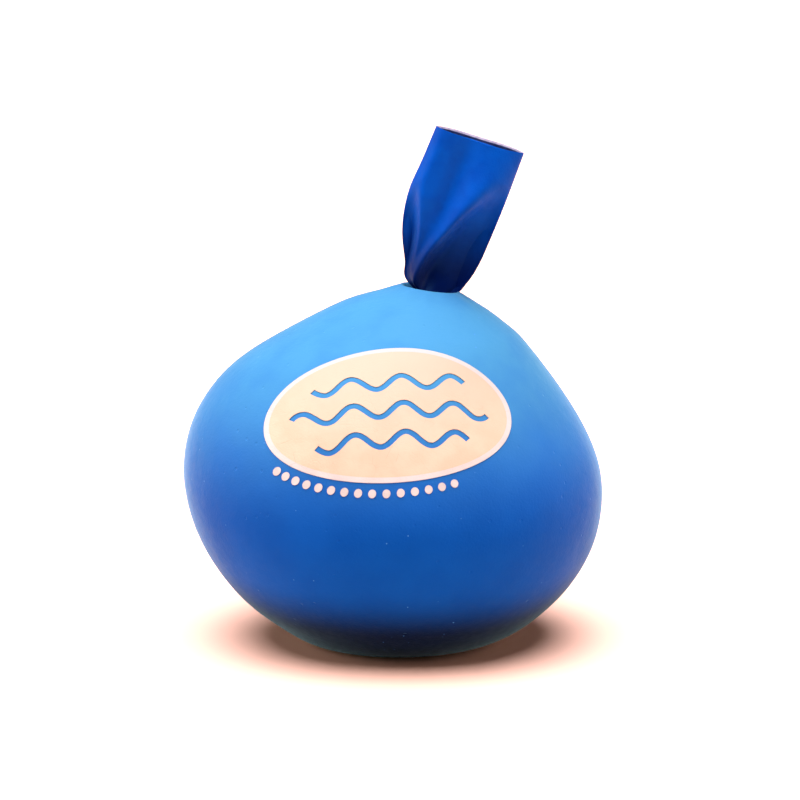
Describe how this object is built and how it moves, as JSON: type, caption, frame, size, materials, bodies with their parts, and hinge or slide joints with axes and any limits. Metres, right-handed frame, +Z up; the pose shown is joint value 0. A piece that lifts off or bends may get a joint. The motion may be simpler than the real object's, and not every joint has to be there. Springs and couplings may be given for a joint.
{
  "type": "stress ball",
  "caption": "Squeezable stress ball: packed powder in a knotted liner inside a printed latex balloon, its neck gathered, tied and left standing as a flat open tube.",
  "frame": {"origin": "centre of the ball's box on the table it rests on", "axes": "+Z up out of the table, -Y out of the printed side, +X to the right when facing the print; the neck leans towards +X"},
  "size_m": [0.0714, 0.0674, 0.0879],
  "materials": {
    "blue_latex": "matte latex with a soft sheen",
    "band_rubber": "matte",
    "liner_latex": "matte natural latex",
    "powder": "fine packed powder",
    "cream_ink": "matte screen ink",
    "white_ink": "matte screen ink"
  },
  "bodies": {
    "ball": {"outer_balloon": "blue_latex", "liner_balloon": "liner_latex", "powder_filling": "powder", "print_panel": "cream_ink", "print_outline": "white_ink"},
    "crown": {"neck_gather": "blue_latex", "neck_band": "band_rubber", "liner_knot": "liner_latex"},
    "neck_root": {"neck_root": "blue_latex"},
    "neck_tail": {"neck_tail": "blue_latex"}
  },
  "joints": [
    {"name": "squeeze", "type": "slide", "parent": "ball", "child": "crown", "axis": [0, 0, -1], "range_m": [0, 0.018], "deforming": ["outer_balloon", "liner_balloon", "powder_filling", "print_panel", "print_outline"]},
    {"name": "neck_sway", "type": "hinge", "parent": "crown", "child": "neck_root", "pos_m": [0.00722, 0, 0.0626], "axis": [0, 1, 0], "range_deg": [-45, 35], "stiffness_Nm_per_rad": 0.002},
    {"name": "tail_fold", "type": "hinge", "parent": "neck_root", "child": "neck_tail", "pos_m": [0.00951, 0, 0.06985], "axis": [0.9537, 0, -0.3007], "range_deg": [-70, 70], "stiffness_Nm_per_rad": 0.001}
  ]
}
